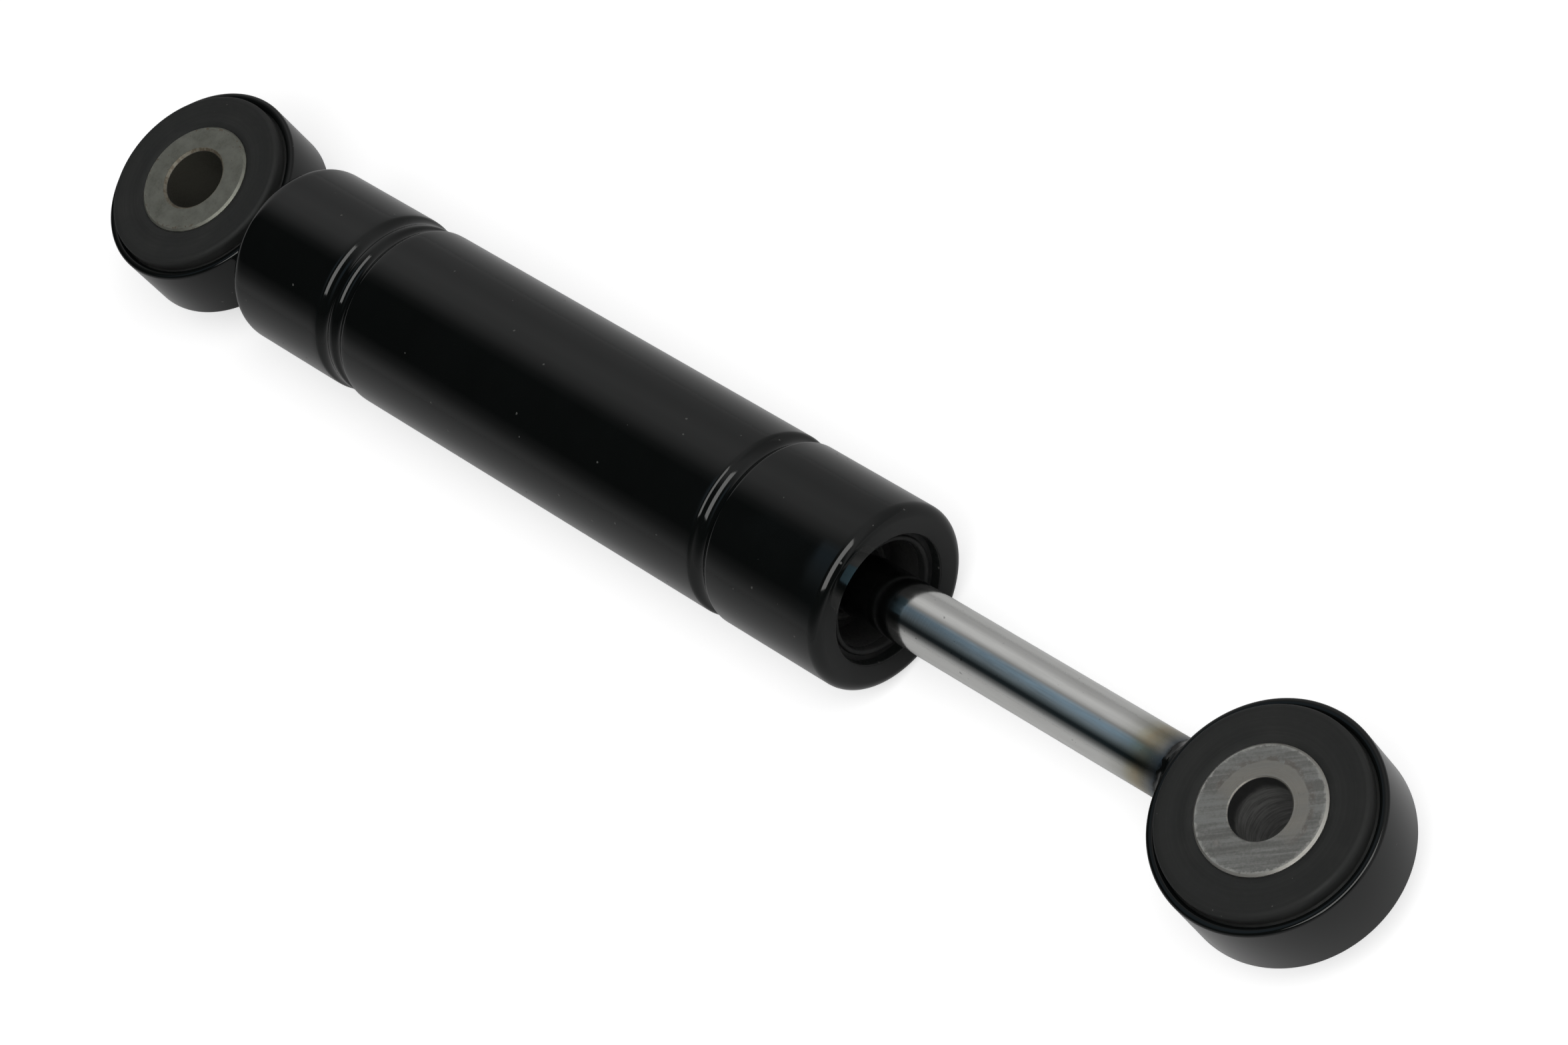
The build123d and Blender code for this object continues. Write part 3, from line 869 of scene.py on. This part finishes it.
tubeShape = {
    "wall": 1.5 * mm,
    "crownHeight": 1.8 * mm,
    "closedCorner": 2.0 * mm,
    "rimCorner": 1.6 * mm,
    "openingRadius": 9.05 * mm,
    "rimDish": 0.25 * mm,
    "lipRounding": 0.28 * mm,
    "baseGrooves": ((0.36 * mm, 2.9 * mm), (0.52 * mm, 2.9 * mm)),  # depth and width
    "baseDip": (0.36 * mm, 7.0 * mm),  # wide and shallow, with both grooves in it
    "baseGrooveInside": (0.53 * mm, 2.9 * mm),
    "baseGroovesFromEnd": 21.6 * mm,
    "baseGroovePitch": 3.0 * mm,
    "guideGroove": (1.0 * mm, 3.7 * mm),
    "guideGrooveFromRim": 22.05 * mm,
    "shoulderShare": 0.35,
    "seat": (0.3 * mm, 0.2 * mm),  # the slope at the bore's end that the seal cover sits in
    "crownInsideGap": 0.6 * mm,
    "step": 0.6 * mm,  # between the rings of points along the wall
}


# One rolled groove as three arcs: a shoulder, the valley and the second shoulder
def grooveOutline(groove, radius, share, steps=8):
    middleX, depth, width = groove
    bend = 2 * math.atan(2 * depth / width)
    bendDegrees = math.degrees(bend)
    reach = width / 2 / math.sin(bend)
    shoulder = share * reach
    valley = reach - shoulder
    startX, endX = middleX - width / 2, middleX + width / 2
    points = arcPoints((startX, radius - shoulder), shoulder, 90, 90 - bendDegrees, steps)
    points += arcPoints((middleX, radius - depth + valley), valley,
                        270 - bendDegrees, 270 + bendDegrees, 2 * steps)[1:]
    points += arcPoints((endX, radius - shoulder), shoulder, 90 + bendDegrees, 90, steps)[1:]
    return points


def wallOutline(startX, endX, radius, shape, grooves):
    points = []
    reached = startX
    for groove in grooves:
        middleX, width = groove[0], groove[2]
        gap = middleX - width / 2 - reached
        steps = max(1, round(gap / shape["step"]))
        points += [(reached + gap * step / steps, radius) for step in range(steps)]
        points += grooveOutline(groove, radius, shape["shoulderShare"])[:-1]
        reached = middleX + width / 2
    steps = 5
    points += [(reached + (endX - reached) * step / steps, radius) for step in range(steps + 1)]
    return points


# Part of a sphere that rises by height over the radius, drawn from the axis out to reach
def crownOutline(apexX, height, radius, reach, steps=16):
    sphere = (height ** 2 + radius ** 2) / (2 * height)
    outs = [reach * step / steps for step in range(steps + 1)]
    return [(apexX + sphere - math.sqrt(sphere ** 2 - out ** 2), out) for out in outs]


def buildTube(shape):
    wall = shape["wall"]
    apexX = tubeLow.x
    closedX = apexX + shape["crownHeight"]
    corner = shape["closedCorner"]
    innerRadius = tubeRadius - wall
    middle = closedX + shape["baseGroovesFromEnd"]
    half = shape["baseGroovePitch"] / 2
    guidePlace = (rimX - shape["guideGrooveFromRim"], *shape["guideGroove"])
    first, second = shape["baseGrooves"]
    places = [(middle - half, *first), (middle + half, *second), guidePlace]
    insidePlaces = [(middle + side * half, *shape["baseGrooveInside"]) for side in (-1, 1)]
    insidePlaces.append(guidePlace)
    dip, dipWidth = shape["baseDip"]

    def dipped(along, radius):
        away = min(abs(along - middle) / dipWidth, 0.5)
        return (along, radius - dip * math.cos(math.pi * away) ** 2)

    outline = crownOutline(apexX, shape["crownHeight"], tubeRadius, tubeRadius - corner)
    endX = outline[-1][0]
    outline += arcPoints((endX + corner, tubeRadius - corner), corner, 180, 90, 10)[1:]
    rim = shape["rimCorner"]
    outside = wallOutline(outline[-1][0], rimX - rim, tubeRadius, shape, places)[1:]
    outline += [dipped(along, radius) for along, radius in outside]
    outline += arcPoints((rimX - rim, tubeRadius - rim), rim, 90, 0, 10)[1:]
    lip = shape["lipRounding"]
    mouthX = rimX - shape["rimDish"]
    opening = shape["openingRadius"]
    outline += arcPoints((mouthX - lip, opening + lip), lip, 0, -90, 8)
    seatLength, seatHeight = shape["seat"]
    seatX = rimX - wall - seatLength
    outline += [(mouthX - wall, opening), (rimX - wall, innerRadius - seatHeight)]
    outline.append((seatX, innerRadius))
    inner = wallOutline(closedX + corner, seatX, innerRadius, shape, insidePlaces)
    outline += inner[::-1][1:]
    insideReach = innerRadius - shape["crownInsideGap"]
    outline += crownOutline(apexX + wall, shape["crownHeight"], tubeRadius, insideReach)[::-1]
    return lathe("tubeShell", outline, "x", segments=256)


dress(buildTube(tubeShape), "cylinder", tubePaint, "tube_paint", "cylinder_tube")
print("turned the tube")


# Seal cover, whose rounded collar shows in the mouth

coverShape = {
    "thickness": 1.2 * mm,
    "collarCrest": 7.95 * mm,
    "collarRounding": 0.38 * mm,
    "collarDepth": 1.15 * mm,  # from the mouth to the collar's end
}


def buildCover(shape):
    dish = tubeShape["rimDish"]
    rounding = shape["collarRounding"]
    crest = shape["collarCrest"]
    collarX = rimX - dish - shape["collarDepth"]
    faceX = coverLow.x + shape["thickness"]
    outline = [(coverLow.x, crest - rounding)]
    outline += arcPoints((collarX - rounding, crest), rounding, -90, 90, 14)
    outline += [(faceX - dish, crest + rounding), (faceX - dish, tubeShape["openingRadius"])]
    outline += [(faceX, coverHigh.y), (coverLow.x, coverHigh.y)]
    return lathe("sealCover", outline, "x", segments=224)


dress(buildCover(coverShape), "cylinder", plain["coverSteel"], "cover_steel", "seal_cover")
print("turned the seal cover")


# Rod and the weld that joins it to its eye

rodShape = {
    "spigotRadius": 3.0 * mm,
    "edge": 0.25 * mm,
    "sunkInEye": 0.62 * mm,
    "steps": 24,
}

weldShape = {
    "height": 0.75 * mm,
    "hollow": 1.9,  # 1 is a straight cone
    "sunkInEye": 0.9 * mm,
    "sunkInRod": 0.3 * mm,
    "undercut": 0.4 * mm,
    "steps": 14,
    "ripples": 13,
    "rippleHeight": 0.05 * mm,
    "rippleShare": 0.7,
    "rippleSway": 1.3,  # how unevenly they lie round the rod
    "rippleLean": 2.4,
    "slowShare": 0.5,  # a slow wave under the ripples
    "slowTurn": 0.7,
    "sink": 0.6,
    "rippleEnd": 0.95,
}


def buildRod(shape):
    tipX = rodLow.x
    endX = rodEyeX - ringRadius + shape["sunkInEye"]
    edge = shape["edge"]
    spigot = shape["spigotRadius"]
    startX = rodStepX + edge
    steps = shape["steps"]
    outline = [(tipX, 0.0), (tipX, spigot - edge), (tipX + edge, spigot), (rodStepX, spigot)]
    outline += [(rodStepX, rodRadius - edge), (startX, rodRadius)]
    outline += [(startX + (endX - startX) * step / steps, rodRadius)
                for step in range(1, steps + 1)]
    outline.append((endX, 0.0))
    return lathe("rodShaft", outline, "x", segments=160)


# A hollow fillet with the ripples that the welder's hand leaves
def buildRodWeld(shape):
    footX = rodEyeX - ringRadius
    leg = footX - rodWeldX
    height = shape["height"]
    shares = [step / shape["steps"] for step in range(shape["steps"] + 1)]
    outline = [(rodWeldX + leg * share, rodRadius + height * share ** shape["hollow"])
               for share in shares]
    endX = footX + shape["sunkInEye"]
    inner = rodRadius - shape["sunkInRod"]
    outline += [(endX, rodRadius + height), (endX, inner), (rodWeldX + shape["undercut"], inner)]

    def ripple(along, radius, angle):
        if radius <= rodRadius:
            return (0.0, 0.0)
        share = min(1.0, (along - rodWeldX) / leg)
        sway = shape["rippleSway"] * math.sin(3 * angle) + shape["rippleLean"] * share
        wave = shape["rippleShare"] * math.sin(shape["ripples"] * angle + sway)
        slow = shape["slowShare"] * math.sin(2 * angle + shape["slowTurn"])
        swell = math.sin(math.pi * min(share, shape["rippleEnd"]))
        return (0.0, shape["rippleHeight"] * (wave + slow - shape["sink"]) * swell)

    return lathe("rodEyeWeld", outline, "x", segments=320, wobble=ripple)


dress(buildRod(rodShape), "rod", rodChrome, "rod_chrome", "piston_rod")
dress(buildRodWeld(weldShape), "rod", eyePaint, "eye_paint", "rod_eye_weld")
print("turned the rod")


# Eyes

eyeShape = {
    "ringWall": 1.25 * mm,
    "ringEdge": 0.5 * mm,
    "rubberLipGap": 0.25 * mm,
    "rubberLipRounding": 0.7 * mm,
    "rubberRoot": 0.35 * mm,
    "sleeveClearance": 0.05 * mm,
    "sleeveEdge": 0.3 * mm,
    "bodyChamfer": 0.36 * mm,
    "rodChamfer": 0.18 * mm,
    # the rubber's face: how far from its lip, or from the sleeve, and how far it lies below
    "faceFromLip": ((1.6 * mm, 0.0), (2.2 * mm, 0.1 * mm)),
    "faceFromSleeve": ((1.6 * mm, 0.12 * mm), (1.1 * mm, 0.06 * mm), (0.5 * mm, 0.02 * mm),
                       (0.0, 0.28 * mm)),
}


def buildRing(name, centreX, shape):
    inner = ringRadius - shape["ringWall"]
    edge = shape["ringEdge"]
    outline = []
    corners = [
        (ringHalf - edge, ringRadius - edge, 90, 0),
        (ringHalf - edge, inner + edge, 0, -90),
        (-ringHalf + edge, inner + edge, -90, -180),
        (-ringHalf + edge, ringRadius - edge, 180, 90),
    ]
    for along, radius, start, end in corners:
        outline += arcPoints((along, radius), edge, start, end, 8)
    return lathe(name, outline, "z", centreX, segments=224)


# Both faces of a piece that is the same on its two sides, from one half of its outline
def mirrored(half):
    return half + [(-along, radius) for along, radius in half[::-1]]


def buildRubberBush(name, centreX, shape):
    inner = sleeveRadius + shape["sleeveClearance"]
    ringInner = ringRadius - shape["ringWall"]
    lip = ringInner - shape["rubberLipGap"]
    root = shape["rubberRoot"]
    rounding = shape["rubberLipRounding"]
    rootZ = ringHalf - shape["ringEdge"]
    half = [(rootZ - root, ringInner), (rootZ, lip - root), (rootZ + root, lip)]
    half += arcPoints((rubberHalf - rounding, lip - rounding), rounding, 90, 0, 10)
    half += [(rubberHalf - drop, lip - away) for away, drop in shape["faceFromLip"]]
    half += [(rubberHalf - drop, inner + away) for away, drop in shape["faceFromSleeve"]]
    return lathe(name, mirrored(half), "z", centreX, segments=224)


def buildSleeve(name, centreX, boreRadius, chamfer, edge):
    half = [
        (sleeveHalf - chamfer, boreRadius),
        (sleeveHalf, boreRadius + chamfer),
        (sleeveHalf, sleeveRadius - edge),
        (sleeveHalf - edge, sleeveRadius),
    ]
    return lathe(name, mirrored(half), "z", centreX, segments=224)


bodyRing = buildRing("bodyEyeRing", bodyEyeX, eyeShape)
rodRing = buildRing("rodEyeRing", rodEyeX, eyeShape)
bodyBush = buildRubberBush("bodyEyeBush", bodyEyeX, eyeShape)
rodBush = buildRubberBush("rodEyeBush", rodEyeX, eyeShape)
bodySleeve = buildSleeve("bodyEyeSleeve", bodyEyeX, bodyBoreRadius, eyeShape["bodyChamfer"],
                         eyeShape["sleeveEdge"])
rodSleeve = buildSleeve("rodEyeSleeve", rodEyeX, rodBoreRadius, eyeShape["rodChamfer"],
                        eyeShape["sleeveEdge"])
dress(bodyRing, "cylinder", eyePaint, "eye_paint", "body_eye_ring")
dress(rodRing, "rod", eyePaint, "eye_paint", "rod_eye_ring")
dress(bodyBush, "cylinder", bodyRubber, "bush_rubber", "body_eye_rubber")
dress(rodBush, "rod", rodRubber, "bush_rubber", "rod_eye_rubber")
dress(bodySleeve, "body_sleeve", zincSleeve, "body_sleeve_steel", "body_eye_sleeve")
dress(rodSleeve, "rod_sleeve", sawnSleeve, "rod_sleeve_steel", "rod_eye_sleeve")
print("turned the eyes")


# Solids that keep their own shape and get a finish

finishes = {
    "body_eye_weld": tubePaint,
    "rod_seal": plain["sealRubber"],
    "guide_o_ring": plain["sealRubber"],
    # painted shade: the garter spring's near black finish
    "seal_garter": plain["garterPaintedShade"],
    "rod_guide": plain["sinteredIron"],
    "piston": plain["sinteredIron"],
    "base_body": plain["sinteredIron"],
    "guide_bush": plain["slideLining"],
    "rebound_stop": plain["slideLining"],
    "piston_band": plain["slideLining"],
}
for nodeName, solid in nodes.items():
    for materialSlot in solid.material_slots:
        materialSlot.material = finishes.get(nodeName, plain["valveSteel"])
print("finished the solids")


# Stage: a white ground, soft panels and the camera

cameraPlace = {
    "location": (0.49948, -0.0778, 0.49075),
    "right": (0.68213, 0.58617, -0.43715),
    "up": (-0.4031, 0.80022, 0.44402),
    "back": (0.61009, -0.12666, 0.78214),
    "lens": 112.31,
    "sensor": 36.0,
}


def buildCamera(values):
    camera = bpy.data.objects.new("camera", bpy.data.cameras.new("camera"))
    camera.data.lens = values["lens"]
    camera.data.sensor_width = values["sensor"]
    camera.data.sensor_fit = "HORIZONTAL"
    camera.data.clip_start = 0.01
    camera.data.clip_end = 20.0
    turn = Matrix((values["right"], values["up"], values["back"])).transposed().to_4x4()
    camera.matrix_world = Matrix.Translation(values["location"]) @ turn
    bpy.context.scene.collection.objects.link(camera)
    bpy.context.scene.camera = camera


stageLook = {
    "floorReach": 0.36,
    "floorColour": (0.54, 0.54, 0.54),
    "floorGlow": 0.6,  # only what the camera sees, so that the ground is white
    "floorRoughness": 0.9,
    "skyDiffuse": (0.25, 0.25, 0.25),
    "horizon": (0.47, 0.47, 0.47),
    "horizonSpan": (-0.01, 0.01),
    # what shiny pieces see overhead: degrees from straight up towards -Y, and how bright it is
    "overhead": [(-90, 0.42), (-67, 0.49), (-48, 0.68), (-32, 0.66), (-20, 0.42), (-9, 0.12),
                 (0, 0.01), (58, 0.01), (72, 0.16), (83, 0.38), (90, 0.5)],
    # a blue screen, in the same degrees, and its two ends along X
    "screen": [(-16, (0.0, 0.0, 0.0)), (-7, (0.2, 0.28, 0.35)), (3, (0.23, 0.33, 0.42)),
               (15, (0.2, 0.27, 0.33)), (26, (0.16, 0.2, 0.23)), (37, (0.07, 0.09, 0.1)),
               (48, (0.002, 0.008, 0.011))],
    "screenStart": (-0.587, -0.58),
    "screenEnd": (-0.3, -0.2),
}

# The softbox as shiny pieces see it, straight and in each other, with its ends along X and its
# sides in the same degrees
windowLook = {
    "direct": (5.0, 5.0, 4.9),
    "mirrored": (0.45, 0.8, 1.0),
    "start": (0.17, 0.2),
    "end": (0.69, 0.72),
    "nearSide": (-27, -25),
    "farSide": (35, 37),
    "firstBounce": 2.5,  # the world counts one bounce more than the shiny piece
}

softboxLook = {
    "towards": (0.468, -0.08, 0.88),
    "away": 0.95,
    "across": 0.58,
    "along": 1.05,
    "watts": 9.6,
}


def buildFloor(values):
    steps = 96
    centre = (rodEyeX / 2, 0.0, floorZ)
    corners = [centre]
    for radius in (values["floorReach"] / 2, values["floorReach"]):
        for number in range(steps):
            angle = 2 * math.pi * number / steps
            corners.append((centre[0] + radius * math.cos(angle), radius * math.sin(angle), floorZ))
    faces = []
    for number in range(steps):
        inner, following = 1 + number, 1 + (number + 1) % steps
        faces.append((0, inner, following))
        faces.append((inner, inner + steps, following + steps, following))
    floor = meshObject("floor", corners, faces)
    material, tree, shader = newMaterial("floorWhite")
    setInputs(shader, Roughness=values["floorRoughness"], Specular_IOR_Level=0.0)
    setInputs(shader, Base_Color=(*values["floorColour"], 1.0), Emission_Color=(1.0, 1.0, 1.0, 1.0))
    away = placeGroup(tree, turning, Vector=objectPlace(tree), Centre=centre, Rings=1.0)
    glow = rangeNode(tree, away.outputs["Radius"], values["floorReach"] / 2, values["floorReach"],
                     values["floorGlow"], 1.0)
    ray = addNode(tree, "ShaderNodeLightPath")
    seen = times(tree, ray.outputs["Is Camera Ray"], glow)
    link(tree, seen, shader.inputs["Emission Strength"])
    floor.data.materials.append(material)


# A ramp of colours over half a turn round X, from -90 to 90 degrees
def skyRamp(tree, angle, stops):
    node = addNode(tree, "ShaderNodeValToRGB")
    link(tree, rangeNode(tree, angle, -math.pi / 2, math.pi / 2, smooth=False), node.inputs["Fac"])
    fillRamp(node.color_ramp, [((degrees + 90) / 180, (*colour, 1.0)) for degrees, colour in stops])
    return node.outputs["Color"]


def buildWorld(values, window):
    world = bpy.data.worlds.new("studio")
    bpy.context.scene.world = world
    world.use_nodes = True
    tree = world.node_tree
    for node in list(tree.nodes):
        tree.nodes.remove(node)
    output = tree.nodes.new("ShaderNodeOutputWorld")
    parts = splitVector(tree, addNode(tree, "ShaderNodeTexCoord").outputs["Generated"])
    angle = mathNode(tree, "ARCTAN2", times(tree, parts["Y"], -1.0), parts["Z"])
    greys = [(degrees, (grey, grey, grey)) for degrees, grey in values["overhead"]]
    overhead = skyRamp(tree, angle, greys)
    screen = skyRamp(tree, angle, values["screen"])
    onScreen = bandNode(tree, parts["X"], values["screenStart"], values["screenEnd"])
    above = mixColours(tree, onScreen, overhead, screen, blend="ADD")
    nearSide, farSide = [[math.radians(degrees) for degrees in window[side]]
                         for side in ("nearSide", "farSide")]
    inWindow = times(tree, bandNode(tree, parts["X"], window["start"], window["end"]),
                     bandNode(tree, angle, nearSide, farSide))
    ray = addNode(tree, "ShaderNodeLightPath")
    first = mathNode(tree, "LESS_THAN", ray.outputs["Ray Depth"], window["firstBounce"])
    glass = mixColours(tree, first, window["mirrored"], window["direct"])
    lit = mixColours(tree, inWindow, above, glass)
    up = rangeNode(tree, parts["Z"], *values["horizonSpan"])
    shiny = mixColours(tree, up, values["horizon"], lit)
    seen = mixColours(tree, ray.outputs["Is Glossy Ray"], values["skyDiffuse"], shiny)
    through = mathNode(tree, "MAXIMUM", ray.outputs["Is Camera Ray"],
                       ray.outputs["Is Transmission Ray"])
    colour = mixColours(tree, through, seen, (1.0, 1.0, 1.0))
    light = tree.nodes.new("ShaderNodeBackground")
    link(tree, colour, light.inputs["Color"])
    link(tree, light.outputs["Background"], output.inputs["Surface"])


def buildSoftbox(values):
    lamp = bpy.data.lights.new("softbox", "AREA")
    lamp.shape = "RECTANGLE"
    lamp.size = values["along"]
    lamp.size_y = values["across"]
    lamp.energy = values["watts"]
    panel = bpy.data.objects.new("softbox", lamp)
    aim = Vector(values["towards"]).normalized()
    panel.location = Vector((rodEyeX / 2, 0.0, 0.0)) + aim * values["away"]
    panel.rotation_euler = (-aim).to_track_quat("-Z", "Y").to_euler()
    panel.visible_glossy = False  # the world has its bright window instead
    bpy.context.scene.collection.objects.link(panel)


buildCamera(cameraPlace)
buildFloor(stageLook)
buildWorld(stageLook, windowLook)
buildSoftbox(softboxLook)
bpy.context.scene.view_settings.view_transform = "Standard"
print("set the stage")
